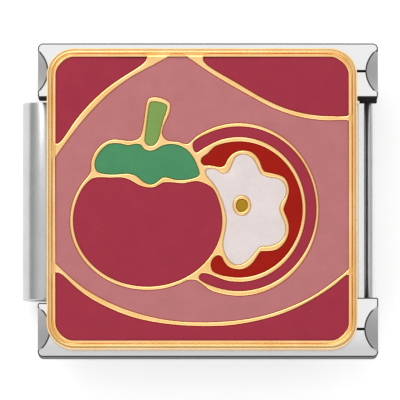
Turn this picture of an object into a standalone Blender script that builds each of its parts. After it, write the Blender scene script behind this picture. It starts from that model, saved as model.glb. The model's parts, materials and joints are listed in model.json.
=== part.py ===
"""Modular bracelet link with a gold plate of cloisonne enamel, lying on its back.

The link is a steel front frame over a steel rear shell. Two side bows slide in the
frame's rails against wave springs, which lets a bracelet stretch, and the rear shell
turns on the bows' pivot pins, which lets two links be unhooked. A gold plate on the
frame carries eleven enamel cells.

Units are metres. +Z is the outward normal of the picture, +X its right and +Y its top.
The origin is on the surface that the link rests on, below the middle of its outline.
"""

import math

import bmesh
import bpy
from mathutils import Matrix, Vector

MM = 0.001

# Whole link
FRAME_LEFT = -4.64 * MM
FRAME_RIGHT = 5.115 * MM
HALF_WIDTH = 4.5 * MM
FRAME_TOP = 3.2 * MM
FRAME_BOTTOM = 1.55 * MM
SHEET = 0.2 * MM
FIT_GAP = 0.01 * MM

# Rails of the front frame
NOTCH_HALF = 2.95 * MM
RIGHT_NOTCH_LOW = -2.80 * MM
WEB_LEFT = -4.30 * MM
WEB_RIGHT = 4.44 * MM
RAIL_MID = 3.70 * MM
CHANNEL_IN = 3.15 * MM
CHANNEL_OUT = 4.30 * MM
CHANNEL_LEFT = -4.22 * MM
CHANNEL_RIGHT = 4.72 * MM
SLIT_WIDTH = 0.07 * MM
SLIT_UNDER_PLATE = 0.55 * MM
CORNER_CHAMFER = 0.14 * MM
EDGE_FILLET = 0.05 * MM

# Scooped facets on the four rail ends: (end, side) gives the depth of the scoop in plan
FACET_DEPTH = {(-1, 1): 0.28 * MM, (-1, -1): 0.35 * MM, (1, 1): 0.34 * MM, (1, -1): 0.38 * MM}
FACET_RADIUS = 1.05 * MM
FACET_TILT = math.radians(48)

# Catch rod and its lugs
ROD_X = 4.872 * MM
ROD_Z = 0.85 * MM
ROD_RADIUS = 0.128 * MM
ROD_HALF_LENGTH = 3.1 * MM
LUG_LEFT = 4.62 * MM
LUG_BOTTOM = 0.5 * MM

# Rear shell
SHELL_HALF = 2.86 * MM
SHELL_Y = 0.08 * MM
SHELL_HEIGHT = 1.4 * MM
HOOK_X = -4.415 * MM
PIVOT_X = 3.9 * MM
PIVOT_Z = SHELL_HEIGHT / 2
FLOOR_LEFT = -3.3 * MM
HOOK_LIP = ((-3.98 * MM, 0.42 * MM), (-4.16 * MM, 0.2 * MM))

# Side bows
PIN_RADIUS = 0.45 * MM
PIN_IN = 2.0 * MM
PIN_OUT = 4.0 * MM
NECK_HALF = 0.25 * MM
NECK_IN = 3.48 * MM
NECK_OUT = 3.92 * MM
SLIDER_LEFT = 3.1 * MM
SLIDER_RIGHT = 4.68 * MM
SLIDER_GAP = 0.05 * MM
STRETCH = 1.2 * MM

# Springs
WAVE_COUNT = 8
WAVE_SHEET = 0.09 * MM
WAVE_HALF_HEIGHT = 0.5 * MM
WAVE_HALF_WIDTH = 0.42 * MM
ARCH_SHEET = 0.1 * MM
ARCH_HALF_LENGTH = 2.9 * MM
ARCH_HALF_WIDTH = 1.6 * MM
ARCH_FOOT = 0.27 * MM
ARCH_CROWN = 1.1 * MM

# Gold plate, about its own centre
PLATE_X = 0.07 * MM
PLATE_HALF = (4.44 * MM, 4.31 * MM)
PLATE_CORNER = 0.78 * MM
PLATE_BOTTOM = FRAME_TOP + FIT_GAP
PLATE_TOP = 4.0 * MM
RIM_ROUND = 0.12 * MM
FIELD_HALF = (4.26 * MM, 4.13 * MM)
FIELD_CORNER = 0.68 * MM
WALL_TOP = 3.93 * MM
POCKET_FLOOR = 3.45 * MM
ENAMEL_TOP = 3.88 * MM
LOOP_STEPS = 2


def arc(centre, radii, start, end, count):
    """Points on an ellipse, from one angle to another in degrees."""
    angles = [math.radians(start + (end - start) * i / (count - 1)) for i in range(count)]
    return [(centre[0] + radii[0] * math.cos(a), centre[1] + radii[1] * math.sin(a)) for a in angles]


def ellipse(centre, radii, count):
    return arc(centre, radii, 0, 360 - 360 / count, count)


# Enamel outlines, in millimetres from the plate's centre
EDGE_X = 4.21
EDGE_Y = 4.08
CORNER = 0.66
FRUIT = (-1.557, -0.632)
RIND = (1.056, -0.311)
RIND_RIM = (1.056, -0.29)
SEED = (1.137, -0.194)


def field_corner(side_x, side_y, start, end):
    """A rounded corner of the enamel field, from one angle to another."""
    centre = (side_x * (EDGE_X - CORNER), side_y * (EDGE_Y - CORNER))
    return arc(centre, (CORNER, CORNER), start, end, 5)


CORNER_UPPER_LEFT = (
    [(-4.21, 2.4), (-4.21, 1.66), (-4.18, 1.59), (-4.12, 1.59), (-4.0, 1.7), (-3.63, 2.24)]
    + [(-3.19, 2.75), (-2.69, 3.2), (-2.18, 3.55), (-1.79, 3.8), (-1.62, 3.96), (-1.61, 4.07)]
    + [(-1.75, 4.08), (-2.6, 4.08)]
    + field_corner(-1, 1, 90, 180)
)
CORNER_UPPER_RIGHT = (
    [(1.5, 4.08), (0.15, 4.08), (0.05, 4.05), (0.05, 3.95), (0.18, 3.81), (0.44, 3.64)]
    + [(0.95, 3.35), (1.6, 2.96), (2.19, 2.67), (2.7, 2.5), (3.21, 2.4), (3.72, 2.37)]
    + [(4.15, 2.38), (4.21, 2.43), (4.21, 2.9)]
    + field_corner(1, 1, 0, 90)
)
LOWER_BORDER = (
    [(-4.21, -3.0), (-4.21, -2.2), (-4.17, -2.13), (-4.08, -2.14), (-3.93, -2.25), (-3.68, -2.49)]
    + [(-3.3, -2.79), (-2.72, -3.11), (-1.98, -3.4), (-1.1, -3.58), (-0.22, -3.65), (0.8, -3.63)]
    + [(1.75, -3.46), (2.48, -3.23), (3.21, -2.86), (3.8, -2.47), (4.13, -2.2), (4.19, -2.2)]
    + [(4.21, -2.28), (4.21, -3.0)]
    + field_corner(1, -1, 0, -90)
    + [(2.0, -4.08), (-2.0, -4.08)]
    + field_corner(-1, -1, 270, 180)
)
BACKGROUND = (
    [(-0.9, 4.07), (-1.02, 4.02), (-1.39, 3.82), (-2.0, 3.49), (-2.58, 3.07), (-3.09, 2.58)]
    + [(-3.54, 2.06), (-3.9, 1.58), (-4.14, 1.24), (-4.2, 1.11), (-4.21, 0.9), (-4.21, -1.7)]
    + [(-4.19, -1.83), (-4.1, -1.92), (-3.83, -2.18), (-3.38, -2.55), (-2.72, -2.93)]
    + [(-1.98, -3.23), (-1.1, -3.45), (-0.22, -3.53), (0.8, -3.5), (1.68, -3.36), (2.41, -3.13)]
    + [(3.14, -2.79), (3.72, -2.39), (4.14, -2.05), (4.2, -1.96), (4.21, -1.8), (4.21, 2.1)]
    + [(4.2, 2.2), (4.12, 2.24), (3.65, 2.23), (3.07, 2.28), (2.55, 2.4), (1.97, 2.62)]
    + [(1.39, 2.93), (0.8, 3.26), (0.22, 3.61), (-0.15, 3.86), (-0.42, 4.04), (-0.55, 4.07)]
)
PICTURE_EDGE = (
    [(-1.55, 2.84), (-1.39, 2.91), (-1.1, 2.86), (-0.92, 2.75), (-0.9, 2.6), (-0.95, 2.4)]
    + [(-1.06, 2.15), (-1.14, 1.93), (-1.08, 1.75), (-0.94, 1.66), (-0.66, 1.63), (-0.42, 1.57)]
    + arc(RIND, (2.285, 2.48), 123, -112, 22)
    + [(-0.15, -2.35), (-0.4, -2.34)]
    + arc(FRUIT, (2.23, 1.99), -64, -212, 13)
    + [(-3.2, 0.76), (-3.18, 1.05), (-3.06, 1.34), (-2.85, 1.57), (-2.56, 1.7), (-2.27, 1.68)]
    + [(-2.05, 1.66), (-1.8, 1.74), (-1.7, 2.04), (-1.63, 2.51)]
)
STEM = (
    [(-1.46, 2.76), (-1.21, 2.76), (-1.03, 2.67), (-1.02, 2.54), (-1.12, 2.26), (-1.2, 1.93)]
    + [(-1.28, 1.65), (-1.39, 1.53), (-1.53, 1.53), (-1.63, 1.64), (-1.62, 1.82), (-1.57, 2.22)]
    + [(-1.52, 2.6)]
)
CALYX = (
    [(-3.06, 0.98), (-3.0, 1.2), (-2.85, 1.41), (-2.64, 1.56), (-2.34, 1.57), (-2.12, 1.52)]
    + [(-1.9, 1.56), (-1.77, 1.54), (-1.68, 1.43), (-1.5, 1.36), (-1.32, 1.4), (-1.1, 1.52)]
    + [(-0.81, 1.55), (-0.52, 1.45), (-0.3, 1.23), (-0.15, 0.94), (-0.09, 0.68), (-0.19, 0.61)]
    + [(-0.44, 0.55), (-0.73, 0.54), (-0.99, 0.61), (-1.14, 0.6), (-1.32, 0.46), (-1.47, 0.41)]
    + [(-1.69, 0.5), (-1.87, 0.65), (-2.12, 0.72), (-2.45, 0.7), (-2.78, 0.71), (-3.0, 0.79)]
)
FRUIT_BODY = (
    [(-3.09, 0.58), (-2.64, 0.59), (-2.27, 0.59), (-2.05, 0.52), (-1.83, 0.39), (-1.54, 0.31)]
    + [(-1.32, 0.33), (-1.1, 0.45), (-0.81, 0.45), (-0.52, 0.43), (-0.22, 0.49), (0.0, 0.46)]
    + arc(FRUIT, (2.12, 1.88), 29, -211, 20)
)
RIND_OUTER = (
    arc(RIND_RIM, (2.2, 2.35), 126, -120, 20)
    + [(-0.08, -2.24), (0.0, -2.15)]
    + arc(RIND, (1.915, 2.08), -117, 124, 16)
    + [(-0.16, 1.33), (-0.24, 1.43)]
)
RIND_INNER = (
    arc(RIND, (1.805, 1.94), 112, -114, 16)
    + [(0.26, -1.88), (0.33, -1.71), (0.47, -1.63), (0.55, -1.67), (0.61, -1.79), (0.7, -1.91)]
    + [(0.86, -2.0), (1.07, -2.03), (1.28, -1.98), (1.46, -1.83), (1.59, -1.64), (1.69, -1.52)]
    + [(1.88, -1.51), (2.15, -1.46), (2.35, -1.28), (2.47, -1.02), (2.48, -0.74), (2.4, -0.48)]
    + [(2.34, -0.31), (2.41, -0.1), (2.49, 0.2), (2.44, 0.47), (2.32, 0.63), (1.97, 0.74)]
    + [(1.8, 0.78), (1.73, 0.86), (1.66, 1.05), (1.55, 1.23), (1.39, 1.35), (1.09, 1.38)]
    + [(0.85, 1.27), (0.7, 1.08), (0.64, 0.96), (0.53, 0.91), (0.4, 0.93), (0.22, 0.96)]
    + [(0.07, 0.96), (-0.02, 1.05), (0.0, 1.16), (0.16, 1.28)]
)
FLESH = (
    [(0.11, 0.81), (0.29, 0.87), (0.43, 0.82), (0.57, 0.73), (0.73, 0.76), (0.84, 0.94)]
    + [(0.95, 1.18), (1.17, 1.28), (1.42, 1.18), (1.57, 0.94), (1.68, 0.72), (1.9, 0.62)]
    + [(2.19, 0.57), (2.37, 0.39), (2.39, 0.1), (2.26, -0.12), (2.21, -0.31), (2.27, -0.49)]
    + [(2.37, -0.74), (2.36, -1.04), (2.18, -1.26), (1.9, -1.36), (1.69, -1.37), (1.58, -1.46)]
    + [(1.45, -1.62), (1.27, -1.8), (1.02, -1.9), (0.8, -1.8), (0.65, -1.55), (0.6, -1.29)]
    + [(0.65, -1.0), (0.7, -0.63), (0.64, -0.27), (0.51, 0.1), (0.33, 0.43), (0.14, 0.65)]
)
FLESH_HOLE = ellipse(SEED, (0.26, 0.29), 14)
SEED_DOT = ellipse(SEED, (0.155, 0.18), 12)

CRIMSON = (0.34, 0.033, 0.062, 1)
ROSE = (0.5, 0.18, 0.19, 1)

# Node name, outer outline, hole outline, colour
ENAMELS = (
    ("enamel_corner_upper_left", CORNER_UPPER_LEFT, None, CRIMSON),
    ("enamel_corner_upper_right", CORNER_UPPER_RIGHT, None, CRIMSON),
    ("enamel_lower_border", LOWER_BORDER, None, CRIMSON),
    ("enamel_background", BACKGROUND, PICTURE_EDGE, ROSE),
    ("enamel_stem", STEM, None, (0.22, 0.36, 0.1, 1)),
    ("enamel_calyx", CALYX, None, (0.074, 0.283, 0.133, 1)),
    ("enamel_fruit", FRUIT_BODY, None, CRIMSON),
    ("enamel_rind_outer", RIND_OUTER, None, CRIMSON),
    ("enamel_rind_inner", RIND_INNER, None, (0.34, 0.011, 0.006, 1)),
    ("enamel_flesh", FLESH, FLESH_HOLE, (0.76, 0.69, 0.69, 1)),
    ("enamel_seed", SEED_DOT, None, (0.4, 0.24, 0.01, 1)),
)


def clear_scene():
    for item in list(bpy.data.objects):
        bpy.data.objects.remove(item, do_unlink=True)


def new_collection(name):
    collection = bpy.data.collections.new(name)
    bpy.context.scene.collection.children.link(collection)
    return collection


def material(name, colour, roughness, metallic):
    made = bpy.data.materials.new(name)
    made.use_nodes = True
    shader = made.node_tree.nodes["Principled BSDF"]
    shader.inputs["Base Color"].default_value = colour
    shader.inputs["Roughness"].default_value = roughness
    shader.inputs["Metallic"].default_value = metallic
    return made


def add_object(name, mesh, collection):
    item = bpy.data.objects.new(name, mesh)
    collection.objects.link(item)
    return item


def box(name, low, high, collection):
    """A box between two corners, with its place in its mesh."""
    bm = bmesh.new()
    bmesh.ops.create_cube(bm, size=1)
    middle = (Vector(low) + Vector(high)) / 2
    size = Vector(high) - Vector(low)
    bmesh.ops.scale(bm, vec=size, verts=bm.verts)
    bmesh.ops.translate(bm, vec=middle, verts=bm.verts)
    mesh = bpy.data.meshes.new(name)
    bm.to_mesh(mesh)
    bm.free()
    return add_object(name, mesh, collection)


def cylinder(name, centre, turn, radius, length, sides, collection):
    """A cylinder about centre, whose own Z axis is turned by the matrix turn."""
    bm = bmesh.new()
    bmesh.ops.create_cone(
        bm, cap_ends=True, segments=sides, radius1=radius, radius2=radius, depth=length
    )
    bmesh.ops.transform(bm, matrix=Matrix.Translation(centre) @ turn, verts=bm.verts)
    mesh = bpy.data.meshes.new(name)
    bm.to_mesh(mesh)
    bm.free()
    item = add_object(name, mesh, collection)
    mesh.shade_smooth()
    mesh.set_sharp_from_angle(angle=math.radians(40))
    return item


def slab(name, loops, bottom, top, collection, turn=None):
    """A flat outline given thickness from bottom to top; later loops are holes."""
    curve = bpy.data.curves.new(name, "CURVE")
    curve.dimensions = "2D"
    curve.fill_mode = "BOTH"
    curve.extrude = (top - bottom) / 2
    for loop in loops:
        spline = curve.splines.new("POLY")
        spline.points.add(len(loop) - 1)
        for point, (x, y) in zip(spline.points, loop):
            point.co = (x, y, 0, 1)
        spline.use_cyclic_u = True
    guide = add_object(name + "_outline", curve, collection)
    guide.location.z = (top + bottom) / 2
    bpy.context.view_layer.update()
    evaluated = guide.evaluated_get(bpy.context.evaluated_depsgraph_get())
    mesh = bpy.data.meshes.new_from_object(evaluated)
    mesh.name = name
    place = guide.matrix_world.copy()
    bpy.data.objects.remove(guide, do_unlink=True)
    bm = bmesh.new()
    bm.from_mesh(mesh)
    bmesh.ops.remove_doubles(bm, verts=bm.verts, dist=1e-8)
    bmesh.ops.transform(bm, matrix=(turn or Matrix.Identity(4)) @ place, verts=bm.verts)
    bmesh.ops.recalc_face_normals(bm, faces=bm.faces)
    bm.to_mesh(mesh)
    bm.free()
    return add_object(name, mesh, collection)


def combine(item, cutter, operation, cutters):
    """Cuts or joins an item by a guide solid, which stays as a hidden wire."""
    modifier = item.modifiers.new(cutter.name, "BOOLEAN")
    modifier.operation = operation
    modifier.solver = "EXACT"
    modifier.object = cutter
    cutter.hide_render = True
    cutter.display_type = "WIRE"
    if cutter.name not in cutters.objects:
        cutters.objects.link(cutter)


def round_edges(item, width, segments, angle):
    modifier = item.modifiers.new("rounded edges", "BEVEL")
    modifier.width = width
    modifier.segments = segments
    modifier.limit_method = "ANGLE"
    modifier.angle_limit = math.radians(angle)


def between(a, b, start, end, t):
    """The point on the line from a, at start, to b, at end, where the parameter is t."""
    return a + (b - a) * (t - start) / (end - start)


def smooth_loop(points, steps):
    """A closed centripetal Catmull-Rom curve through the points, with steps samples a span."""
    samples = []
    count = len(points)
    for i in range(count):
        p = [Vector(points[(i + k) % count]) for k in (-1, 0, 1, 2)]
        knots = [0]
        for k in range(3):
            knots.append(knots[k] + math.sqrt((p[k + 1] - p[k]).length))
        for step in range(steps):
            t = knots[1] + (knots[2] - knots[1]) * step / steps
            near = [between(p[k], p[k + 1], knots[k], knots[k + 1], t) for k in range(3)]
            mid = [between(near[k], near[k + 1], knots[k], knots[k + 2], t) for k in range(2)]
            samples.append(between(mid[0], mid[1], knots[1], knots[2], t))
    return samples


def signed_area(loop):
    pairs = zip(loop, loop[1:] + loop[:1])
    return sum(a[0] * b[1] - b[0] * a[1] for a, b in pairs) / 2


def grow_loop(loop, distance):
    """The loop moved outwards by distance, or inwards if it is negative."""
    sign = 1 if signed_area(loop) > 0 else -1
    grown = []
    for i, point in enumerate(loop):
        before = (point - loop[i - 1]).normalized()
        after = (loop[(i + 1) % len(loop)] - point).normalized()
        along = (before + after).normalized()
        outward = Vector((along.y, -along.x)) * sign
        grown.append(point + outward * distance / max(0.5, along.dot(before)))
    return grown


def plate_loop(points):
    """An enamel outline in metres, about the plate's centre in the link."""
    return [Vector((PLATE_X + p.x * MM, p.y * MM)) for p in smooth_loop(points, LOOP_STEPS)]


def rounded_rectangle(half, corner, count):
    loop = []
    for side_x, side_y, start in ((1, 1, 0), (-1, 1, 90), (-1, -1, 180), (1, -1, 270)):
        centre = (PLATE_X + side_x * (half[0] - corner), side_y * (half[1] - corner))
        loop += arc(centre, (corner, corner), start, start + 90, count)
    return loop


def ribbon(path, thickness):
    """A closed outline around an open path, half the thickness to each side."""
    left = []
    right = []
    for i, point in enumerate(path):
        ahead = Vector(path[min(i + 1, len(path) - 1)])
        behind = Vector(path[max(i - 1, 0)])
        along = (ahead - behind).normalized()
        across = Vector((-along.y, along.x)) * thickness / 2
        left.append(Vector(point) + across)
        right.append(Vector(point) - across)
    return left + right[::-1]


# Lays a solid's own Z axis along the link's -Y, so that its own Y points up
UPRIGHT = Matrix.Rotation(math.radians(90), 4, "X")


def make_front_frame(parts, cutters, steel):
    frame = box(
        "front_frame",
        (FRAME_LEFT, -HALF_WIDTH, LUG_BOTTOM),
        (FRAME_RIGHT, HALF_WIDTH, FRAME_TOP),
        parts,
    )
    chamfer_corners(frame)
    round_edges(frame, EDGE_FILLET, 2, 50)
    far = 7 * MM
    cuts = [
        ("below_rails", (-far, -far, 0), (LUG_LEFT, far, FRAME_BOTTOM)),
        ("left_notch", (-far, -NOTCH_HALF, 0), (WEB_LEFT, NOTCH_HALF, far)),
        ("right_notch", (WEB_RIGHT, RIGHT_NOTCH_LOW, 0), (far, NOTCH_HALF, far)),
        (
            "box_hollow",
            (WEB_LEFT - SHEET, -NOTCH_HALF, FRAME_BOTTOM + SHEET),
            (WEB_RIGHT + SHEET, NOTCH_HALF, FRAME_TOP - SHEET),
        ),
    ]
    slot_left = PIVOT_X - NECK_HALF - STRETCH - 2 * SLIDER_GAP
    slot_right = PIVOT_X + NECK_HALF + 2 * SLIDER_GAP
    for side in (-1, 1):
        tag = "upper" if side > 0 else "lower"
        cuts.append(
            side_box(
                f"beside_lug_{tag}",
                side,
                (LUG_LEFT - MM, CHANNEL_IN, 0),
                (far, far, FRAME_BOTTOM),
            )
        )
        cuts.append(
            side_box(
                f"channel_{tag}",
                side,
                (CHANNEL_LEFT, CHANNEL_IN, FRAME_BOTTOM + SHEET),
                (CHANNEL_RIGHT, CHANNEL_OUT, FRAME_TOP - SHEET),
            )
        )
        cuts.append(
            side_box(
                f"bow_slot_{tag}",
                side,
                (slot_left, NECK_IN - SLIDER_GAP, FRAME_BOTTOM - SHEET),
                (slot_right, NECK_OUT + SLIDER_GAP, FRAME_BOTTOM + 2 * SHEET),
            )
        )
        for end in (-1, 1):
            edge = FRAME_RIGHT if end > 0 else FRAME_LEFT
            apex = edge - end * FACET_DEPTH[(end, side)]
            reach = apex - end * SLIT_UNDER_PLATE
            cuts.append(
                side_box(
                    f"seam_slit_{tag}_{end}",
                    side,
                    (min(apex, reach), RAIL_MID - SLIT_WIDTH / 2, FRAME_TOP - 1.5 * SHEET),
                    (max(apex, reach), RAIL_MID + SLIT_WIDTH / 2, FRAME_TOP + SHEET),
                )
            )
    for name, low, high in cuts:
        combine(frame, box("cut_" + name, low, high, cutters), "DIFFERENCE", cutters)
    for end in (-1, 1):
        for side in (-1, 1):
            combine(frame, facet_cutter(end, side, cutters), "DIFFERENCE", cutters)
    bore = cylinder(
        "cut_rod_bore",
        (ROD_X, 0, ROD_Z),
        UPRIGHT,
        ROD_RADIUS + FIT_GAP,
        2 * (ROD_HALF_LENGTH + FIT_GAP),
        20,
        cutters,
    )
    combine(frame, bore, "DIFFERENCE", cutters)
    frame.data.materials.append(steel)
    return frame


def side_box(name, side, low, high):
    """The corners of a box on one side of the link, low and high given for +Y."""
    if side > 0:
        return name, low, high
    return name, (low[0], -high[1], low[2]), (high[0], -low[1], high[2])


def chamfer_corners(frame):
    """Cuts the four upright corners of the frame's block at 45 degrees."""
    bm = bmesh.new()
    bm.from_mesh(frame.data)
    upright = [e for e in bm.edges if abs(e.verts[0].co.z - e.verts[1].co.z) > MM / 2]
    bmesh.ops.bevel(bm, geom=upright, offset=CORNER_CHAMFER, segments=2, affect="EDGES", profile=0.5)
    bm.to_mesh(frame.data)
    bm.free()


def facet_cutter(end, side, cutters):
    """A tilted cylinder that scoops a thumbnail facet out of a rail's end."""
    edge = FRAME_RIGHT if end > 0 else FRAME_LEFT
    apex = Vector((edge - end * FACET_DEPTH[(end, side)], side * RAIL_MID, FRAME_TOP))
    outward = Vector((end * math.cos(FACET_TILT), 0, math.sin(FACET_TILT)))
    turn = Matrix.Rotation(-end * FACET_TILT, 4, "Y")
    centre = apex + outward * FACET_RADIUS
    return cylinder(f"cut_facet_{end}_{side}", centre, turn, FACET_RADIUS, 6 * MM, 72, cutters)


def make_catch_rod(parts, steel):
    rod = cylinder(
        "catch_rod", (ROD_X, 0, ROD_Z), UPRIGHT, ROD_RADIUS, 2 * ROD_HALF_LENGTH, 20, parts
    )
    rod.data.materials.append(steel)
    return rod


def make_rear_shell(parts, steel):
    bend = (SHELL_HEIGHT - SHEET) / 2
    path = list(HOOK_LIP)
    path += arc((HOOK_X, PIVOT_Z), (bend, bend), 280, 90, 12)
    path += [(-1.5 * MM, SHELL_HEIGHT - SHEET / 2), (1.5 * MM, SHELL_HEIGHT - SHEET / 2)]
    path += arc((PIVOT_X, PIVOT_Z), (bend, bend), 90, -90, 13)
    path += [(0, SHEET / 2), (FLOOR_LEFT, SHEET / 2)]
    near = -SHELL_Y - SHELL_HALF
    far = -SHELL_Y + SHELL_HALF
    shell = slab("rear_shell", [ribbon(path, SHEET)], near, far, parts, UPRIGHT)
    shell.data.materials.append(steel)
    return shell


def make_side_bow(side, parts, cutters, steel):
    tag = "upper" if side > 0 else "lower"
    mid = side * (PIN_IN + PIN_OUT) / 2
    bow = cylinder(
        f"side_bow_{tag}", (PIVOT_X, mid, PIVOT_Z), UPRIGHT, PIN_RADIUS, PIN_OUT - PIN_IN, 32, parts
    )
    _, low, high = side_box(
        "neck",
        side,
        (PIVOT_X - NECK_HALF, NECK_IN, PIVOT_Z),
        (PIVOT_X + NECK_HALF, NECK_OUT, FRAME_BOTTOM + 3 * SHEET),
    )
    neck = box(f"join_neck_{tag}", low, high, cutters)
    _, low, high = side_box(
        "slider",
        side,
        (SLIDER_LEFT, CHANNEL_IN + SLIDER_GAP, FRAME_BOTTOM + SHEET + SLIDER_GAP),
        (SLIDER_RIGHT, CHANNEL_OUT - SLIDER_GAP, FRAME_TOP - SHEET - SLIDER_GAP),
    )
    slider = box(f"join_slider_{tag}", low, high, cutters)
    round_edges(slider, 0.08 * MM, 1, 50)
    combine(bow, neck, "UNION", cutters)
    combine(bow, slider, "UNION", cutters)
    bow.data.materials.append(steel)
    return bow


def make_stretch_spring(side, parts, steel):
    """A wave spring between the closed end of the rail and the bow's slider."""
    tag = "upper" if side > 0 else "lower"
    start = CHANNEL_LEFT + 2 * FIT_GAP
    length = SLIDER_LEFT - 2 * FIT_GAP - WAVE_SHEET - start
    level = (FRAME_BOTTOM + FRAME_TOP) / 2
    per_wave = 8
    path = []
    for i in range(WAVE_COUNT * per_wave + 1):
        turn = i / per_wave
        x = start + WAVE_SHEET / 2 + length * i / (WAVE_COUNT * per_wave)
        path.append((x, level + WAVE_HALF_HEIGHT * math.sin(2 * math.pi * turn)))
    middle = side * (CHANNEL_IN + CHANNEL_OUT) / 2
    spring = slab(
        f"stretch_spring_{tag}",
        [ribbon(path, WAVE_SHEET)],
        -middle - WAVE_HALF_WIDTH,
        -middle + WAVE_HALF_WIDTH,
        parts,
        UPRIGHT,
    )
    spring.data.materials.append(steel)
    return spring


def make_fold_spring(parts, steel):
    """A bowed leaf that lies along the inside of the rear shell."""
    count = 17
    path = []
    for i in range(count):
        share = i / (count - 1)
        rise = math.sin(math.pi * share) ** 2
        path.append((ARCH_HALF_LENGTH * (2 * share - 1), ARCH_FOOT + (ARCH_CROWN - ARCH_FOOT) * rise))
    spring = slab(
        "fold_spring", [ribbon(path, ARCH_SHEET)], -ARCH_HALF_WIDTH, ARCH_HALF_WIDTH, parts, UPRIGHT
    )
    spring.data.materials.append(steel)
    return spring


def make_face_plate(parts, cutters, gold):
    """The gold plate: a rim, a floor and the walls left standing between the pockets."""
    plate = slab(
        "face_plate", [rounded_rectangle(PLATE_HALF, PLATE_CORNER, 7)], PLATE_BOTTOM, PLATE_TOP, parts
    )
    round_edges(plate, RIM_ROUND, 2, 50)
    field = slab(
        "cut_field",
        [rounded_rectangle(FIELD_HALF, FIELD_CORNER, 7)],
        WALL_TOP,
        PLATE_TOP + SHEET,
        cutters,
    )
    combine(plate, field, "DIFFERENCE", cutters)
    for name, outline, hole, _ in ENAMELS:
        loops = [grow_loop(plate_loop(outline), FIT_GAP)]
        if hole:
            loops.append(grow_loop(plate_loop(hole), -FIT_GAP))
        pocket = slab("cut_" + name, loops, POCKET_FLOOR, PLATE_TOP + 2 * SHEET, cutters)
        combine(plate, pocket, "DIFFERENCE", cutters)
    plate.data.materials.append(gold)
    return plate


def make_enamel(name, outline, hole, colour, parts):
    loops = [plate_loop(outline)]
    if hole:
        loops.append(plate_loop(hole))
    cell = slab(name, loops, POCKET_FLOOR + FIT_GAP, ENAMEL_TOP, parts)
    cell.data.materials.append(material(name, colour, 0.2, 0))
    return cell


def main():
    clear_scene()
    parts = new_collection("charm_link")
    cutters = new_collection("charm_link_cutters")
    polished = material("polished_steel", (0.8, 0.8, 0.8, 1), 0.12, 1)
    brushed = material("brushed_steel", (0.62, 0.62, 0.62, 1), 0.3, 1)
    spring_steel = material("spring_steel", (0.45, 0.46, 0.48, 1), 0.35, 1)
    gold = material("gold", (0.9, 0.62, 0.28, 1), 0.18, 1)
    make_front_frame(parts, cutters, polished)
    make_catch_rod(parts, brushed)
    make_rear_shell(parts, brushed)
    for side in (1, -1):
        make_side_bow(side, parts, cutters, brushed)
        make_stretch_spring(side, parts, spring_steel)
    make_fold_spring(parts, spring_steel)
    make_face_plate(parts, cutters, gold)
    for name, outline, hole, colour in ENAMELS:
        make_enamel(name, outline, hole, colour, parts)


main()
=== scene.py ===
"""The finished looks of a modular charm bracelet link: steel shells, gold rim and cloisonne enamel.

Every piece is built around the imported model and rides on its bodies. Units are metres.
"""

import json
import math

import bmesh
import bpy
from mathutils import Matrix, Vector


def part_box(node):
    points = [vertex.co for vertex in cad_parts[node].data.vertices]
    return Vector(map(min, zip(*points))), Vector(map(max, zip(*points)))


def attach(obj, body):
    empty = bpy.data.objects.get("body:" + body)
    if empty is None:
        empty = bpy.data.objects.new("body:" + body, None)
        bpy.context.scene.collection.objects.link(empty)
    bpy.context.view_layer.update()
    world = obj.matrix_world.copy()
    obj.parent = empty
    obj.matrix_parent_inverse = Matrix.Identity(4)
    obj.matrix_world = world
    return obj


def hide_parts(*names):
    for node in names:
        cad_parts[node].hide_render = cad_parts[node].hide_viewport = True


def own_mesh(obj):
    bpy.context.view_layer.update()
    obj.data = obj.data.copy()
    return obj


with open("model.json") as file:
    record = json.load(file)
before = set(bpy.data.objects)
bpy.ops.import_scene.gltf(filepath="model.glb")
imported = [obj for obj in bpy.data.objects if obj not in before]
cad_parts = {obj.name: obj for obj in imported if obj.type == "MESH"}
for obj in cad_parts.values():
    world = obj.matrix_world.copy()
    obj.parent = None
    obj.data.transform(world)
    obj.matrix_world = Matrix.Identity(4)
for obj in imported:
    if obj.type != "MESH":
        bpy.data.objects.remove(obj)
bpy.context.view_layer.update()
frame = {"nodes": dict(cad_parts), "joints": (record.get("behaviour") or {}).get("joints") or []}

MM = 0.001
JOINTS = {joint["name"]: joint for joint in frame["joints"]}

# Rear shell: one sheet rolled round the hook and the hinge, seen from the side as (x, z)
SHELL_LOW, SHELL_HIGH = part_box("rear_shell")
PIVOT = Vector(JOINTS["fold_hinge"]["pos_m"])
SHEET = 0.2 * MM
SHEET_EDGE = 0.05 * MM
HOOK_X = SHELL_LOW.x + SHELL_HIGH.z / 2
HOOK_START, HOOK_END = 280, 90
SHELL_FLOOR_LEFT = -3.3 * MM
HOOK_LIP = ((-3.98 * MM, 0.42 * MM), (-4.16 * MM, 0.2 * MM))
BEND_POINTS = 28

# Front frame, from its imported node
FRAME_LOW, FRAME_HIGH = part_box("front_frame")
RAIL_BOTTOM = 1.55 * MM
NOTCH_HALF = 2.95 * MM
RIGHT_NOTCH_LOW = -2.80 * MM
WEB_LEFT = -4.30 * MM
WEB_RIGHT = 4.44 * MM
RAIL_MIDDLE = 3.70 * MM
CHANNEL_IN = 3.15 * MM
CHANNEL_OUT = 4.30 * MM
CHANNEL_LEFT = -4.22 * MM
CHANNEL_RIGHT = 4.72 * MM
LUG_LEFT = 4.62 * MM
SLIT_WIDTH = 0.075 * MM
SLIT_UNDER_PLATE = 0.55 * MM
SLIT_DEPTH = 0.15 * MM
FRAME_ROUND = 0.045 * MM
CORNER_ROUND = 0.15 * MM
NOTCH_ROUND = 0.06 * MM
OUTLINE_POINTS = 24
BOW_SLOT_LEFT = 2.35 * MM
BOW_SLOT_RIGHT = 4.25 * MM
BOW_SLOT_IN = 3.43 * MM
BOW_SLOT_OUT = 3.97 * MM
BOW_ROUND = 0.03 * MM
BORE_GAP = 0.01 * MM
BORE_SIDES = 48
ROD_SIDES = 64
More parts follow.
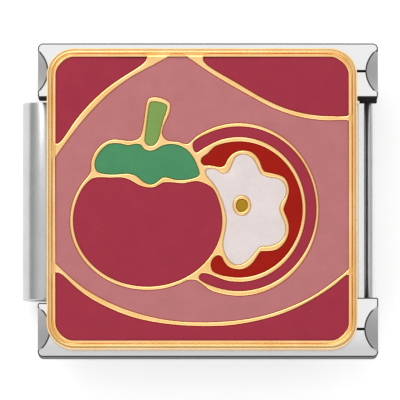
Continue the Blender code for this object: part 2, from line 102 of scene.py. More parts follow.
ROD_ROUND = 0.03 * MM

# Scooped facets on the four rail ends: (end, side) gives the depth of the scoop in plan
FACET_DEPTH = {(-1, 1): 0.28 * MM, (-1, -1): 0.35 * MM, (1, 1): 0.34 * MM, (1, -1): 0.38 * MM}
FACET_RADIUS = 1.05 * MM
FACET_TILT = math.radians(48)
FACET_LENGTH = 6 * MM
FACET_SIDES = 144
ARC_BEVEL = 0.026 * MM
ARC_BEVEL_REACH = 0.56 * MM

# How a face normal's upward share tells the frame's tops, scoops, walls and inside apart
LEVEL = 0.98
SCOOPED = (0.5, 0.9)
STEEP = 0.5
UPRIGHT = 0.02

# Polish and painted shade stored on the frame's faces, from -1 for the dull inside, painted dark,
# to 1 for the lit tops
POLISH_AND_SHADE_TOP = 1.0
POLISH_AND_SHADE_FACET = 0.5
POLISH_AND_SHADE_WALL = 0.3
POLISH_AND_SHADE_EDGE = 0.1
POLISH_AND_SHADE_INSIDE = -1.0

# Painted shade: grey of the steel at each place, from the inside and edges, painted dark, to the
# lit tops
STEEL_PAINTED_SHADE_TONES = ((0.0, 0.03), (0.55, 0.07), (0.65, 0.2), (0.75, 0.47), (1.0, 0.88))

# Painted shade: the steel is darker at the lower rail, fully below the first Y, and not at all
# above the second
PAINTED_SHADE_RAIL = (-4.25 * MM, -3.6 * MM)
PAINTED_SHADE_TINT = (0.74, 0.74, 0.745)

# Springs of thin strip
STRETCH_STRIP = 0.08 * MM
STRETCH_EDGE = 0.03 * MM
STRETCH_WAVES = 8
WAVE_STEPS = 14
FOLD_STRIP = 0.1 * MM
FOLD_EDGE = 0.04 * MM
FOLD_POINTS = 49

# Gold plate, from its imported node
PLATE_LOW, PLATE_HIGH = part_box("face_plate")
PLATE_MIDDLE = (PLATE_LOW + PLATE_HIGH) / 2
PLATE_HALF = (PLATE_HIGH - PLATE_LOW) / 2
PLATE_CORNER = 0.78 * MM
RIM_WIDTH = 0.2 * MM
BASE_TOP = PLATE_LOW.z + 0.25 * MM
WALL_TOP = PLATE_HIGH.z - 0.06 * MM
WALL_ROUND = 0.044 * MM
ENAMEL_TOP = PLATE_HIGH.z - 0.105 * MM
ENAMEL_ROUND = 0.02 * MM
BASE_ROUND = 0.02 * MM
WALL_OVERLAP = 0.01 * MM
CORNER_POINTS = 13
SMOOTHING = 3

# Shading: the largest angle in degrees between faces that still look like one smooth surface
SMOOTH_ANGLE = 28
FRAME_SMOOTH_ANGLE = 5
TRACED_SMOOTH_ANGLE = 60

# Rounding of the bows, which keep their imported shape
MERGE = 2.5e-6
SLIVER = 1e-6
BEVEL_ANGLE = math.radians(30)

# The rim's section: distance in from the plate's edge and height below its top, both in mm
RIM_SECTION = (
    (0.0, -0.78),
    (0.0, -0.13),
    (0.004, -0.105),
    (0.016, -0.082),
    (0.034, -0.062),
    (0.056, -0.044),
    (0.076, -0.026),
    (0.09, -0.008),
    (0.1, -0.002),
    (0.112, 0.0),
    (0.124, -0.002),
    (0.134, -0.01),
    (0.144, -0.04),
    (0.15, -0.07),
    (0.158, -0.084),
    (0.168, -0.088),
    (0.18, -0.082),
    (0.196, -0.07),
    (0.214, -0.064),
    (0.228, -0.072),
    (0.236, -0.09),
    (0.24, -0.12),
    (0.24, -0.78),
)

CRIMSON = (0.32, 0.027, 0.052)
ROSE = (0.455, 0.161, 0.166)
ENAMELS = {
    "enamel_corner_upper_left": ("enamel_crimson", CRIMSON),
    "enamel_corner_upper_right": ("enamel_crimson", CRIMSON),
    "enamel_lower_border": ("enamel_crimson", CRIMSON),
    "enamel_background": ("enamel_rose", ROSE),
    "enamel_stem": ("enamel_leaf_green", (0.19, 0.315, 0.082)),
    "enamel_calyx": ("enamel_green", (0.062, 0.248, 0.112)),
    "enamel_fruit": ("enamel_crimson", CRIMSON),
    "enamel_rind_outer": ("enamel_crimson", CRIMSON),
    "enamel_rind_inner": ("enamel_red", (0.315, 0.006, 0.001)),
    "enamel_flesh": ("enamel_pale", (0.7, 0.625, 0.615)),
    "enamel_seed": ("enamel_olive", (0.365, 0.21, 0.008)),
}

# Studio
FLOOR_HALF = 0.5
DOME = ((0.0, 0.5), (0.12, 0.42), (0.35, 0.5), (0.75, 0.85), (1.0, 1.0))
# Softboxes: azimuth, elevation, distance, size, power
SOFTBOXES = {
    "key_softbox": (115, 50, 60 * MM, (50 * MM, 30 * MM), 0.012),
    "fill_softbox": (-100, 42, 70 * MM, (60 * MM, 30 * MM), 0.009),
}
CAMERA_LEAN = math.radians(3.3)
CAMERA_DISTANCE = 300 * MM
CAMERA_TARGET = Vector((0.01 * MM, 0.0, 3.2 * MM))
VIEW_WIDTH = 11.46 * MM
SENSOR = 36
CLIP = (10 * MM, 5)


# Materials


class Signal:
    """A shader socket that takes part in arithmetic; numbers stand on either side."""

    def __init__(self, finish, socket):
        self.finish = finish
        self.socket = socket

    def math(self, operation, *others):
        values = {i: value for i, value in enumerate((self, *others))}
        return self.finish.add("ShaderNodeMath", values, operation=operation)

    def __add__(self, other):
        return self.math("ADD", other)

    def __mul__(self, other):
        return self.math("MULTIPLY", other)

    def __sub__(self, other):
        return self.math("SUBTRACT", other)

    def __rsub__(self, other):
        return self.finish.add("ShaderNodeMath", {0: other, 1: self}, operation="SUBTRACT")

    def __truediv__(self, other):
        return self.math("DIVIDE", other)

    __radd__ = __add__
    __rmul__ = __mul__

    def between(self, low, high):
        """The value's place from low to high, held to 0 to 1."""
        return ((self - low) / (high - low)).math("MAXIMUM", 0).math("MINIMUM", 1)


class Finish:
    """A Principled material whose varying inputs are worked out by nodes."""

    def __init__(self, name, **fixed):
        self.material = bpy.data.materials.new(name)
        self.material.use_nodes = True
        self.tree = self.material.node_tree
        self.shader = self.tree.nodes["Principled BSDF"]
        for key, value in fixed.items():
            label = key.replace("_", " ").title().replace("Ior", "IOR")
            self.shader.inputs[label].default_value = value
        self.place = self.add("ShaderNodeTexCoord", out="Object")

    def add(self, kind, values=None, out=0, stops=None, **settings):
        """Adds a node with its settings, feeds its inputs and returns one output."""
        node = self.tree.nodes.new(kind)
        for key, value in settings.items():
            setattr(node, key, value)
        if stops:
            set_stops(node.color_ramp, stops)
        for key, value in (values or {}).items():
            self.feed(node.inputs[key], value)
        return Signal(self, node.outputs[out])

    def feed(self, socket, value):
        if isinstance(value, Signal):
            self.tree.links.new(value.socket, socket)
        else:
            socket.default_value = value

    def noise(self, size, stretch=(1, 1, 1), detail=2, turn=0):
        """Noise whose lumps are about size across, drawn out by stretch."""
        scale = tuple(1 / (size * s) for s in stretch)
        where = self.add(
            "ShaderNodeMapping", {"Vector": self.place, "Scale": scale, "Rotation": (0, 0, turn)}
        )
        return self.add("ShaderNodeTexNoise", {"Vector": where, "Scale": 1, "Detail": detail})

    def mix(self, share, low, high, blend_type="MIX"):
        """The colour from low to high at share."""
        ends = [end if isinstance(end, Signal) else (*end, 1) for end in (low, high)]
        values = {"Factor": share, 6: ends[0], 7: ends[1]}
        return self.add("ShaderNodeMix", values, out=2, data_type="RGBA", blend_type=blend_type)

    def bump(self, height, distance, strength):
        values = {"Height": height, "Distance": distance, "Strength": strength}
        return self.add("ShaderNodeBump", values)

    def close(self, colour, roughness, normal=None):
        """Feeds the shader's main inputs and returns the material."""
        self.feed(self.shader.inputs["Base Color"], colour)
        self.feed(self.shader.inputs["Roughness"], roughness)
        if normal:
            self.feed(self.shader.inputs["Normal"], normal)
        return self.material


def set_stops(ramp, stops):
    """Sets a colour ramp to greys at the given positions."""
    while len(ramp.elements) < len(stops):
        ramp.elements.new(1)
    for element, (position, grey) in zip(ramp.elements, stops):
        element.position = position
        element.color = (grey, grey, grey, 1)


def shade(colour, factor):
    return tuple(min(1, channel * factor) for channel in colour)


def polished_steel():
    """Steel whose tops are polished, whose walls are satin and whose inside is dull, with painted
    shade: walls, edges and inside darker by face direction, and the lower rail darker.
    """
    finish = Finish("polished_steel", specular_ior_level=0)
    streak = finish.noise(0.02 * MM, (60, 1, 1), detail=3)
    cloud = finish.noise(0.9 * MM, detail=2)
    scuff = finish.noise(0.05 * MM, (8, 1, 1), detail=4, turn=0.6).between(0.62, 0.72)
    polish = finish.add("ShaderNodeAttribute", out="Fac", attribute_name="polish")
    polish_and_shade_share = {"Fac": polish.between(POLISH_AND_SHADE_INSIDE, POLISH_AND_SHADE_TOP)}
    # Painted shade: the steel's grey follows face direction, darkest inside and at edges, lightest
    # on the tops
    tone = finish.add("ShaderNodeValToRGB", polish_and_shade_share, stops=STEEL_PAINTED_SHADE_TONES)
    colour = finish.mix(0.3 * cloud, tone, (0.78, 0.78, 0.785), blend_type="MULTIPLY")
    # Painted shade: darkens the lower rail, as if it reflected something darker
    across = finish.add("ShaderNodeSeparateXYZ", {"Vector": finish.place}, out="Y")
    painted_shade = 1 - across.between(*PAINTED_SHADE_RAIL)
    colour = finish.mix(painted_shade, colour, PAINTED_SHADE_TINT, blend_type="MULTIPLY")
    finish.feed(finish.shader.inputs["Metallic"], polish.between(0.05, 0.75))
    roughness = 0.11 + 0.06 * streak + 0.06 * scuff + 0.45 * (1 - polish.between(0, 1))
    return finish.close(colour, roughness, finish.bump(streak, 0.002 * MM, 0.25))


def satin_steel():
    finish = Finish("satin_steel", metallic=1)
    streak = finish.noise(0.018 * MM, (1, 80, 1), detail=3)
    cloud = finish.noise(0.7 * MM, detail=2)
    colour = finish.mix(cloud, (0.5, 0.5, 0.505), (0.6, 0.6, 0.6))
    roughness = 0.22 + 0.12 * streak
    return finish.close(colour, roughness, finish.bump(streak, 0.002 * MM, 0.3))


def spring_steel():
    finish = Finish("spring_steel", metallic=1)
    tint = finish.noise(1.1 * MM, detail=1)
    streak = finish.noise(0.02 * MM, (50, 1, 1), detail=3)
    colour = finish.mix(tint, (0.42, 0.44, 0.48), (0.55, 0.52, 0.46))
    return finish.close(colour, 0.26 + 0.14 * streak, finish.bump(streak, 0.002 * MM, 0.3))


def polished_gold():
    finish = Finish("polished_gold", metallic=1)
    cloud = finish.noise(0.8 * MM, detail=2).between(0.3, 0.7)
    grain = finish.noise(0.03 * MM, detail=3)
    colour = finish.mix(cloud, (0.93, 0.56, 0.21), (0.97, 0.66, 0.31))
    return finish.close(colour, 0.16 + 0.1 * grain, finish.bump(grain, 0.0015 * MM, 0.3))


def enamel(name, colour):
    """Opaque enamel with faint clouds, a fine speckle of pigment and an orange-peel surface."""
    finish = Finish(name, metallic=0, specular_ior_level=0.1)
    cloud = finish.noise(0.55 * MM, detail=3)
    speckle = finish.noise(0.045 * MM, detail=2)
    ripple = finish.noise(0.25 * MM, detail=1)
    share = (0.6 * cloud + 0.4 * speckle).between(0.3, 0.7)
    tone = finish.mix(share, shade(colour, 0.93), shade(colour, 1.07))
    roughness = 0.26 + 0.1 * speckle
    return finish.close(tone, roughness, finish.bump(ripple, 0.004 * MM, 0.35))


def floor_paper():
    """White paper that glows a little, so that it stays white around the shadow."""
    glow = {"emission_color": (1, 1, 1, 1), "emission_strength": 0.45}
    finish = Finish("floor_paper", metallic=0, **glow)
    fibre = finish.noise(0.4 * MM, (3, 1, 1), detail=4)
    colour = finish.mix(fibre, (0.74, 0.74, 0.74), (0.77, 0.77, 0.77))
    return finish.close(colour, 0.8 + 0.1 * fibre)


# Shapes


def arc(centre, radii, start, end, count):
    """Points on an ellipse, from one angle to another in degrees."""
    points = []
    for i in range(count):
        angle = math.radians(start + (end - start) * i / (count - 1))
        x = centre[0] + radii[0] * math.cos(angle)
        y = centre[1] + radii[1] * math.sin(angle)
        points.append((x, y))
    return points


def rounded_rectangle(half_x, half_y, corner):
    """A rounded rectangle about the plate's middle."""
    loop = []
    for side_x, side_y, start in ((1, 1, 0), (-1, 1, 90), (-1, -1, 180), (1, -1, 270)):
        centre = (
            PLATE_MIDDLE.x + side_x * (half_x - corner),
            PLATE_MIDDLE.y + side_y * (half_y - corner),
        )
        loop += arc(centre, (corner, corner), start, start + 90, CORNER_POINTS)
    return [Vector(point) for point in loop]


def add_piece(name, mesh):
    piece = bpy.data.objects.new(name, mesh)
    bpy.context.scene.collection.objects.link(piece)
    return piece


def bake_piece(name, source):
    """The evaluated source as a plain mesh piece; the source is removed."""
    bpy.context.view_layer.update()
    evaluated = source.evaluated_get(bpy.context.evaluated_depsgraph_get())
    mesh = bpy.data.meshes.new_from_object(evaluated)
    mesh.transform(source.matrix_world)
    bpy.data.objects.remove(source, do_unlink=True)
    bm = bmesh.new()
    bm.from_mesh(mesh)
    bmesh.ops.remove_doubles(bm, verts=bm.verts, dist=1e-8)
    bmesh.ops.recalc_face_normals(bm, faces=bm.faces)
    bm.to_mesh(mesh)
    bm.free()
    mesh.name = name
    return add_piece(name, mesh)


def smooth_shade(piece, angle=SMOOTH_ANGLE, weigh=True):
    """Smooth shading that keeps large faces flat and real corners sharp."""
    piece.data.shade_smooth()
    piece.data.set_sharp_from_angle(angle=math.radians(angle))
    if not weigh:
        return
    weighted = piece.modifiers.new("weighted normals", "WEIGHTED_NORMAL")
    weighted.keep_sharp = True
    weighted.weight = 100


def dress(piece, body, material, slot, *nodes):
    """Gives a finished piece its material and its body, and hides the imported nodes that it stands
    for.
    """
    piece.data.materials.clear()
    piece.data.materials.append(material)
    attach(piece, body)
    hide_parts(*nodes)
    return piece


def between(a, b, start, end, t):
    """The point on the line from a at start to b at end, at t."""
    return a + (b - a) * (t - start) / (end - start)


def smooth_loop(points, steps):
    """A closed centripetal Catmull-Rom curve through the points."""
    samples = []
    count = len(points)
    for i in range(count):
        p = [points[(i + k) % count] for k in (-1, 0, 1, 2)]
        knots = [0]
        for k in range(3):
            knots.append(knots[k] + math.sqrt((p[k + 1] - p[k]).length))
        for step in range(steps):
            t = knots[1] + (knots[2] - knots[1]) * step / steps
            near = [between(p[k], p[k + 1], knots[k], knots[k + 1], t) for k in range(3)]
            mid = [between(near[k], near[k + 1], knots[k], knots[k + 2], t) for k in range(2)]
            samples.append(between(mid[0], mid[1], knots[1], knots[2], t))
    return samples


def top_loops(node):
    """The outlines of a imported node's top face, as smooth closed loops."""
    bm = bmesh.new()
    bm.from_mesh(frame["nodes"][node].data)
    bmesh.ops.remove_doubles(bm, verts=bm.verts, dist=1e-7)
    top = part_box(node)[1].z
    level = [v for v in bm.verts if v.co.z > top - 1e-6]
    ahead = {}
    for vert in level:
        for edge in vert.link_edges:
            flat = [f for f in edge.link_faces if min(v.co.z for v in f.verts) > top - 1e-6]
            if len(flat) == 1:
                ahead.setdefault(vert.index, []).append(edge.other_vert(vert))
    loops = []
    seen = set()
    for start in level:
        if start.index in seen or start.index not in ahead:
            continue
        loop = []
        vert = start
        while vert is not None:
            seen.add(vert.index)
            loop.append(Vector(vert.co.xy))
            vert = next((v for v in ahead[vert.index] if v.index not in seen), None)
        loops.append(smooth_loop(loop, SMOOTHING))
    bm.free()
    return loops


def rounded_slab(name, loops, bottom, top, rounding, steps=3):
    """Flat outlines, inner ones as holes, from bottom to top, with edges rounded inwards."""
    curve = bpy.data.curves.new(name, "CURVE")
    curve.dimensions = "2D"
    curve.fill_mode = "BOTH"
    curve.extrude = (top - bottom) / 2 - rounding
    curve.bevel_depth = rounding
    curve.bevel_resolution = steps
    curve.offset = -rounding
    for loop in loops:
        spline = curve.splines.new("POLY")
        spline.points.add(len(loop) - 1)
        for point, place in zip(spline.points, loop):
            point.co = (place[0], place[1], 0, 1)
        spline.use_cyclic_u = True
    guide = add_piece(name + "_guide", curve)
    guide.location.z = (top + bottom) / 2
    return bake_piece(name, guide)


def refined(node, width):
    """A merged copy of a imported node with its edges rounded."""
    mesh = frame["nodes"][node].data.copy()
    bm = bmesh.new()
    bm.from_mesh(mesh)
    bmesh.ops.remove_doubles(bm, verts=bm.verts, dist=MERGE)
    bmesh.ops.dissolve_degenerate(bm, edges=bm.edges, dist=SLIVER)
    flat = math.radians(1)
    bmesh.ops.dissolve_limit(bm, angle_limit=flat, verts=bm.verts, edges=bm.edges)
    bm.to_mesh(mesh)
    bm.free()
    guide = add_piece(node + "_guide", mesh)
    bevel = guide.modifiers.new("rounded edges", "BEVEL")
    bevel.width = width
    bevel.segments = 3
    bevel.limit_method = "ANGLE"
    bevel.angle_limit = BEVEL_ANGLE
    return bake_piece(node + "_body", guide)


# Geometry Nodes


def sweep_tree():
    """A section carried along a path, for the rim and for rolled or wavy sheet."""
    tree = bpy.data.node_groups.new("section along a path", "GeometryNodeTree")
    face = tree.interface
    face.new_socket("Path", in_out="INPUT", socket_type="NodeSocketGeometry")
    face.new_socket("Section", in_out="INPUT", socket_type="NodeSocketObject")
    face.new_socket("Finish", in_out="INPUT", socket_type="NodeSocketMaterial")
    face.new_socket("Swept", in_out="OUTPUT", socket_type="NodeSocketGeometry")
    nodes = tree.nodes
    start = nodes.new("NodeGroupInput")
    end = nodes.new("NodeGroupOutput")
    path = nodes.new("GeometryNodeMeshToCurve")
    section = nodes.new("GeometryNodeObjectInfo")
    outline = nodes.new("GeometryNodeMeshToCurve")
    sweep = nodes.new("GeometryNodeCurveToMesh")
    sweep.inputs["Fill Caps"].default_value = True
    realize = nodes.new("GeometryNodeRealizeInstances")
    paint = nodes.new("GeometryNodeSetMaterial")
    link = tree.links.new
    link(start.outputs["Path"], path.inputs[0])
    link(start.outputs["Section"], section.inputs["Object"])
    link(section.outputs["Geometry"], outline.inputs[0])
    link(path.outputs[0], sweep.inputs["Curve"])
    link(outline.outputs[0], sweep.inputs["Profile Curve"])
    link(sweep.outputs[0], realize.inputs[0])
    link(realize.outputs[0], paint.inputs["Geometry"])
    link(start.outputs["Finish"], paint.inputs["Material"])
    link(paint.outputs[0], end.inputs[0])
    return tree


def wire(name, points, closed):
    """A mesh of edges through the points."""
    count = len(points)
    edges = [(i, (i + 1) % count) for i in range(count if closed else count - 1)]
    mesh = bpy.data.meshes.new(name)
    mesh.from_pydata([(*p, 0) if len(p) == 2 else tuple(p) for p in points], edges, [])
    return add_piece(name, mesh)


def sweep(name, tree, path, closed, section, material):
    """Runs the sweep tree on a path and a closed section, and returns the solid."""
    guide = wire(name + "_path", path, closed)
    outline = wire(name + "_section", section, True)
    modifier = guide.modifiers.new("sweep", "NODES")
    modifier.node_group = tree
    inputs = {item.name: item.identifier for item in tree.interface.items_tree}
    modifier[inputs["Section"]] = outline
    modifier[inputs["Finish"]] = material
    piece = bake_piece(name, guide)
    bpy.data.objects.remove(outline, do_unlink=True)
    return piece


def strip_section(half_width, thickness, rounding):
    """The closed section of a strip of sheet with rounded edges."""
    section = []
    corners = ((1, 1, 0), (-1, 1, 90), (-1, -1, 180), (1, -1, 270))
    for side_x, side_y, start in corners:
        centre = (side_x * (half_width - rounding), side_y * (thickness / 2 - rounding))
        section += arc(centre, (rounding, rounding), start, start + 90, 4)
    return section


# The link's pieces


def frame_outline():
    """The frame from above: two rails joined by a web that is set back at both ends."""
    outline = []
    corners = (
        (FRAME_HIGH.x, FRAME_HIGH.y, CORNER_ROUND, 0),
        (FRAME_LOW.x, FRAME_HIGH.y, CORNER_ROUND, 90),
        (FRAME_LOW.x, NOTCH_HALF, NOTCH_ROUND, 180),
        (WEB_LEFT, NOTCH_HALF, -NOTCH_ROUND, 90),
        (WEB_LEFT, -NOTCH_HALF, -NOTCH_ROUND, 0),
        (FRAME_LOW.x, -NOTCH_HALF, NOTCH_ROUND, 90),
        (FRAME_LOW.x, FRAME_LOW.y, CORNER_ROUND, 180),
        (FRAME_HIGH.x, FRAME_LOW.y, CORNER_ROUND, 270),
        (FRAME_HIGH.x, RIGHT_NOTCH_LOW, NOTCH_ROUND, 0),
        (WEB_RIGHT, RIGHT_NOTCH_LOW, -NOTCH_ROUND, 270),
        (WEB_RIGHT, NOTCH_HALF, -NOTCH_ROUND, 180),
        (FRAME_HIGH.x, NOTCH_HALF, NOTCH_ROUND, 270),
    )
    for x, y, radius, start in corners:
        turn = 90 if radius > 0 else -90
        size = abs(radius)
        mid = math.radians(start + turn / 2)
        centre = (x - math.copysign(size, math.cos(mid)), y - math.copysign(size, math.sin(mid)))
        outline += arc(centre, (size, size), start, start + turn, OUTLINE_POINTS)
    return outline


def block(name, low, high):
    """A guide box between two corners."""
    bm = bmesh.new()
    bmesh.ops.create_cube(bm, size=1)
    size = Vector(high) - Vector(low)
    bmesh.ops.scale(bm, vec=size, verts=bm.verts)
    bmesh.ops.translate(bm, vec=(Vector(low) + Vector(high)) / 2, verts=bm.verts)
    mesh = bpy.data.meshes.new(name)
    bm.to_mesh(mesh)
    bm.free()
    return add_piece(name, mesh)


def round_bar(name, centre, turn, radius, length, sides):
    """A guide cylinder about centre, whose own Z axis is turned by the matrix turn."""
    bm = bmesh.new()
    bmesh.ops.create_cone(
        bm, cap_ends=True, segments=sides, radius1=radius, radius2=radius, depth=length
    )
    bmesh.ops.transform(bm, matrix=Matrix.Translation(centre) @ turn, verts=bm.verts)
    mesh = bpy.data.meshes.new(name)
    bm.to_mesh(mesh)
    bm.free()
    return add_piece(name, mesh)


def carve(piece, guides):
    """Cuts or joins each guide solid in turn and returns the finished piece."""
    for guide, operation in guides:
        modifier = piece.modifiers.new(guide.name, "BOOLEAN")
        modifier.operation = operation
        modifier.solver = "EXACT"
        modifier.object = guide
    name = piece.name
    piece.name = name + "_blank"
    carved = bake_piece(name, piece)
    for guide, _ in guides:
        bpy.data.objects.remove(guide, do_unlink=True)
    return carved


def on_side(side, low, high):
    """The corners of a box, given for the +Y side, on either side of the link."""
    if side > 0:
        return low, high
    return (low[0], -high[1], low[2]), (high[0], -low[1], high[2])


def facet_apex(end, side):
    """The innermost point of a scooped facet, on the frame's top."""
    edge = FRAME_HIGH.x if end > 0 else FRAME_LOW.x
    inner = edge - end * FACET_DEPTH[(end, side)]
    return Vector((inner, side * RAIL_MIDDLE, FRAME_HIGH.z))


def soften_facet_edges(piece):
    """Gives the sharp upper edge of each scooped facet a narrow bevel."""
    bm = bmesh.new()
    bm.from_mesh(piece.data)
    rims = []
    for edge in bm.edges:
        if len(edge.link_faces) != 2 or edge.calc_face_angle() < math.radians(20):
            continue
        middle = (edge.verts[0].co + edge.verts[1].co) / 2
        normals = [face.normal for face in edge.link_faces]
        up = max(normal.z for normal in normals) > LEVEL
        scooped = any(SCOOPED[0] < n.z < SCOOPED[1] and abs(n.x) > 0.4 for n in normals)
        near_middle = abs(abs(middle.y) - RAIL_MIDDLE) < ARC_BEVEL_REACH
        if up and scooped and near_middle and middle.z > FRAME_HIGH.z - 0.01 * MM:
            rims.append(edge)
    settings = {"segments": 2, "affect": "EDGES", "profile": 0.5, "clamp_overlap": False}
    bmesh.ops.bevel(bm, geom=rims, offset=ARC_BEVEL, **settings)
    bm.to_mesh(piece.data)
    bm.free()


def mark_polish_and_shade(piece):
    """Stores each face's polish and painted shade, from the dull inside painted dark to the
    polished, lit top.
    """
    mesh = piece.data
    polish = mesh.attributes.new("polish", "FLOAT", "CORNER")
    # Each value sets both the finish and the painted shade: walls, edges, slits and inside get
    # darker steel
    for face in mesh.polygons:
        up = face.normal.z
        depth = FRAME_HIGH.z - face.center.z
        scooped = SCOOPED[0] < up < SCOOPED[1] and depth > ARC_BEVEL
        across = abs(abs(face.center.y) - RAIL_MIDDLE)
        in_slit = across < 0.51 * SLIT_WIDTH and 0.1 * SLIT_DEPTH < depth < 1.01 * SLIT_DEPTH
        if in_slit and not scooped:
            finish = POLISH_AND_SHADE_INSIDE
        elif up > LEVEL:
            finish = POLISH_AND_SHADE_TOP
        elif scooped and abs(face.normal.x) > 0.35:
            finish = POLISH_AND_SHADE_FACET
        elif abs(face.center.y) < NOTCH_HALF + SHEET and abs(up) < STEEP:
            finish = POLISH_AND_SHADE_INSIDE
        elif abs(up) < UPRIGHT:
            finish = POLISH_AND_SHADE_WALL
        else:
            finish = POLISH_AND_SHADE_EDGE
        for corner in face.loop_indices:
            polish.data[corner].value = finish


def make_frame(steel, satin):
    """The front frame, cut from one slab, and the rod that sits in its lugs."""
    low, high = FRAME_LOW, FRAME_HIGH
    name = "front_frame_body"
    frame_blank = rounded_slab(name, [frame_outline()], RAIL_BOTTOM, high.z, FRAME_ROUND, 6)
    guides = []

    def cut(name, low_corner, high_corner, operation="DIFFERENCE"):
        guides.append((block(name, low_corner, high_corner), operation))

    cut(
        "box_hollow",
        (WEB_LEFT - SHEET, -NOTCH_HALF, RAIL_BOTTOM + SHEET),
        (WEB_RIGHT + SHEET, NOTCH_HALF, high.z - SHEET),
    )
    for side in (-1, 1):
        inner = NOTCH_HALF if side > 0 else -RIGHT_NOTCH_LOW
        lug = ((LUG_LEFT, inner, low.z), (high.x, CHANNEL_IN, RAIL_BOTTOM + SHEET))
        cut(f"lug_{side}", *on_side(side, *lug), "UNION")
        channel = (
            (CHANNEL_LEFT, CHANNEL_IN, RAIL_BOTTOM + SHEET),
            (CHANNEL_RIGHT, CHANNEL_OUT, high.z - SHEET),
        )
        cut(f"channel_{side}", *on_side(side, *channel))
        slot = (
            (BOW_SLOT_LEFT, BOW_SLOT_IN, RAIL_BOTTOM - SHEET),
            (BOW_SLOT_RIGHT, BOW_SLOT_OUT, RAIL_BOTTOM + 2 * SHEET),
        )
        cut(f"bow_slot_{side}", *on_side(side, *slot))
        for end in (-1, 1):
            apex = facet_apex(end, side).x
            reach = apex - end * SLIT_UNDER_PLATE
            slit = (
                (min(apex, reach), RAIL_MIDDLE - SLIT_WIDTH / 2, high.z - SLIT_DEPTH),
                (max(apex, reach), RAIL_MIDDLE + SLIT_WIDTH / 2, high.z + SHEET),
            )
            cut(f"seam_slit_{side}_{end}", *on_side(side, *slit))
    for end, side in FACET_DEPTH:
        outward = Vector((end * math.cos(FACET_TILT), 0, math.sin(FACET_TILT)))
        centre = facet_apex(end, side) + outward * FACET_RADIUS
        turn = Matrix.Rotation(-end * FACET_TILT, 4, "Y")
        name = f"facet_{end}_{side}"
        scoop = round_bar(name, centre, turn, FACET_RADIUS, FACET_LENGTH, FACET_SIDES)
        guides.append((scoop, "DIFFERENCE"))
    rod_low, rod_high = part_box("catch_rod")
    middle = (rod_low + rod_high) / 2
    radius = (rod_high.x - rod_low.x) / 2
    length = rod_high.y - rod_low.y
    along_y = Matrix.Rotation(math.radians(90), 4, "X")
    bore = round_bar("rod_bore", middle, along_y, radius + BORE_GAP, length, BORE_SIDES)
    guides.append((bore, "DIFFERENCE"))
    body = carve(frame_blank, guides)
    soften_facet_edges(body)
    smooth_shade(body, FRAME_SMOOTH_ANGLE, weigh=False)
    mark_polish_and_shade(body)
    dress(body, "front", steel, "polished_steel", "front_frame")
    rod = round_bar("catch_rod_body", middle, along_y, radius, length, ROD_SIDES)
    round_ends(rod)
    smooth_shade(rod)
    dress(rod, "front", satin, "brushed_steel", "catch_rod")


def round_ends(piece):
    """Bevels the sharp rims of a turned piece."""
    bm = bmesh.new()
    bm.from_mesh(piece.data)
    rims = [e for e in bm.edges if e.calc_face_angle() > math.radians(60)]
    bmesh.ops.bevel(bm, geom=rims, offset=ROD_ROUND, segments=3, affect="EDGES", profile=0.5)
    bm.to_mesh(piece.data)
    bm.free()


def make_bows(strip):
    for side in ("upper", "lower"):
        bow = refined(f"side_bow_{side}", BOW_ROUND)
        smooth_shade(bow)
        dress(bow, "bows", strip, "brushed_steel", f"side_bow_{side}")


def upright(points, y=0):
    """Points in a side view, placed in the link."""
    return [(x, y, z) for x, z in points]


def make_rear_shell(tree, satin):
    """The sheet from the hook's lip, round the hook, over the top, round the hinge and back."""
    bend = (SHELL_HIGH.z - SHEET) / 2
    middle = SHELL_HIGH.z / 2
    path = list(HOOK_LIP)
    path += arc((HOOK_X, middle), (bend, bend), HOOK_START, HOOK_END, BEND_POINTS)
    path += arc((PIVOT.x, PIVOT.z), (bend, bend), 90, -90, BEND_POINTS)
    path.append((SHELL_FLOOR_LEFT, SHEET / 2))
    half = (SHELL_HIGH.y - SHELL_LOW.y) / 2
    section = strip_section(half, SHEET, SHEET_EDGE)
    route = upright(path, (SHELL_LOW.y + SHELL_HIGH.y) / 2)
    shell = sweep("rear_shell_sheet", tree, route, False, section, satin)
    smooth_shade(shell)
    dress(shell, "rear", satin, "brushed_steel", "rear_shell")


def make_stretch_spring(node, tree, strip):
    """A wave spring in a rail, built at rest; on the real link it shortens as the bow slides out.
    """
    low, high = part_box(node)
    length = high.x - low.x - STRETCH_STRIP
    reach = (high.z - low.z - STRETCH_STRIP) / 2
    middle_y = (low.y + high.y) / 2
    middle_z = (low.z + high.z) / 2
    steps = STRETCH_WAVES * WAVE_STEPS
    path = []
    for i in range(steps + 1):
        share = i / steps
        height = reach * math.sin(2 * math.pi * STRETCH_WAVES * share)
        path.append((low.x + STRETCH_STRIP / 2 + length * share, middle_z + height))
    section = strip_section((high.y - low.y) / 2, STRETCH_STRIP, STRETCH_EDGE)
    spring = sweep(node + "_strip", tree, upright(path, middle_y), False, section, strip)
    smooth_shade(spring)
    dress(spring, "front", strip, "spring_steel", node)
    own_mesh(spring)


def make_fold_spring(tree, strip):
    """A bowed leaf inside the rear shell."""
    low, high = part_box("fold_spring")
    path = []
    for i in range(FOLD_POINTS):
        share = i / (FOLD_POINTS - 1)
        rise = (high.z - low.z - FOLD_STRIP) * math.sin(math.pi * share) ** 2
        path.append((low.x + (high.x - low.x) * share, low.z + FOLD_STRIP / 2 + rise))
    section = strip_section((high.y - low.y) / 2, FOLD_STRIP, FOLD_EDGE)
    leaf = sweep("fold_spring_leaf", tree, upright(path), False, section, strip)
    smooth_shade(leaf)
    dress(leaf, "rear", strip, "spring_steel", "fold_spring")


def plate_edge(inset):
    """The plate's outline, moved in by inset."""
    return rounded_rectangle(PLATE_HALF.x - inset, PLATE_HALF.y - inset, PLATE_CORNER - inset)


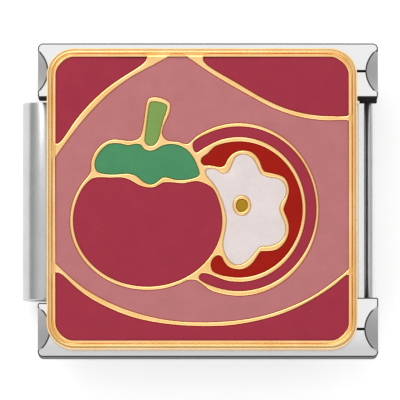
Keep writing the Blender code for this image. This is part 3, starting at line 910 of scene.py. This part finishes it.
def make_plate(tree, gold):
    """The gold plate as its rim, its base and the walls between the enamel cells."""
    section = [(-s * MM, -PLATE_HIGH.z - z * MM) for s, z in RIM_SECTION]
    rim = sweep("gold_rim", tree, plate_edge(0), True, section, gold)
    smooth_shade(rim, TRACED_SMOOTH_ANGLE, weigh=False)
    dress(rim, "front", gold, "gold", "face_plate")
    base_edge = plate_edge(RIM_WIDTH / 2)
    base = rounded_slab("gold_base", [base_edge], PLATE_LOW.z, BASE_TOP, BASE_ROUND)
    smooth_shade(base)
    dress(base, "front", gold, "gold", "face_plate")
    loops = [plate_edge(RIM_WIDTH)]
    for node in ENAMELS:
        loops += top_loops(node)
    walls = rounded_slab("gold_walls", loops, BASE_TOP - WALL_OVERLAP, WALL_TOP, WALL_ROUND, 4)
    smooth_shade(walls, TRACED_SMOOTH_ANGLE)
    dress(walls, "front", gold, "gold", "face_plate")


def make_enamels():
    finishes = {}
    for node, (slot, colour) in ENAMELS.items():
        if slot not in finishes:
            finishes[slot] = enamel(slot, colour)
        loops = top_loops(node)
        cell = rounded_slab(node + "_fill", loops, BASE_TOP, ENAMEL_TOP, ENAMEL_ROUND)
        smooth_shade(cell, TRACED_SMOOTH_ANGLE)
        dress(cell, "front", finishes[slot], slot, node)


# Studio


def make_floor():
    side = FLOOR_HALF
    mesh = bpy.data.meshes.new("floor")
    corners = [(-side, -side, 0), (side, -side, 0), (side, side, 0), (-side, side, 0)]
    mesh.from_pydata(corners, [], [(0, 1, 2, 3)])
    floor = add_piece("floor", mesh)
    floor.data.materials.append(floor_paper())


def make_world():
    """A pale dome: bright overhead, greyer towards the horizon."""
    world = bpy.data.worlds.new("studio_dome")
    bpy.context.scene.world = world
    world.use_nodes = True
    nodes = world.node_tree.nodes
    link = world.node_tree.links.new
    place = nodes.new("ShaderNodeTexCoord")
    split = nodes.new("ShaderNodeSeparateXYZ")
    ramp = nodes.new("ShaderNodeValToRGB")
    set_stops(ramp.color_ramp, DOME)
    link(place.outputs["Generated"], split.inputs[0])
    link(split.outputs["Z"], ramp.inputs[0])
    link(ramp.outputs[0], nodes["Background"].inputs["Color"])
    nodes["Background"].inputs["Strength"].default_value = 1.0


def make_softbox(name, azimuth, elevation, distance, size, power):
    """A rectangular lamp that faces the origin."""
    lamp = bpy.data.lights.new(name, "AREA")
    lamp.shape = "RECTANGLE"
    lamp.size = size[0]
    lamp.size_y = size[1]
    lamp.energy = power
    light = bpy.data.objects.new(name, lamp)
    bpy.context.scene.collection.objects.link(light)
    turn = math.radians(azimuth)
    rise = math.radians(elevation)
    level = math.cos(rise)
    away = Vector((math.cos(turn) * level, math.sin(turn) * level, math.sin(rise)))
    light.location = away * distance
    light.rotation_mode = "QUATERNION"
    light.rotation_quaternion = away.to_track_quat("Z", "Y")


def make_camera():
    """Looks down on the picture, leaning a little towards its lower edge."""
    camera = bpy.data.cameras.new("camera")
    camera.sensor_width = SENSOR
    camera.lens = SENSOR * CAMERA_DISTANCE / VIEW_WIDTH
    camera.clip_start, camera.clip_end = CLIP
    eye = bpy.data.objects.new("camera", camera)
    bpy.context.scene.collection.objects.link(eye)
    back = Vector((0, -math.sin(CAMERA_LEAN), math.cos(CAMERA_LEAN)))
    eye.location = CAMERA_TARGET + back * CAMERA_DISTANCE
    eye.rotation_mode = "QUATERNION"
    eye.rotation_quaternion = back.to_track_quat("Z", "Y")
    bpy.context.scene.camera = eye


def main():
    steel = polished_steel()
    satin = satin_steel()
    strip = spring_steel()
    gold = polished_gold()
    tree = sweep_tree()
    make_frame(steel, satin)
    make_bows(strip)
    make_rear_shell(tree, satin)
    for side in ("upper", "lower"):
        make_stretch_spring(f"stretch_spring_{side}", tree, strip)
    make_fold_spring(tree, strip)
    make_plate(tree, gold)
    make_enamels()
    make_floor()
    make_world()
    for name, settings in SOFTBOXES.items():
        make_softbox(name, *settings)
    make_camera()
    bpy.context.scene.view_settings.view_transform = "Standard"


main()
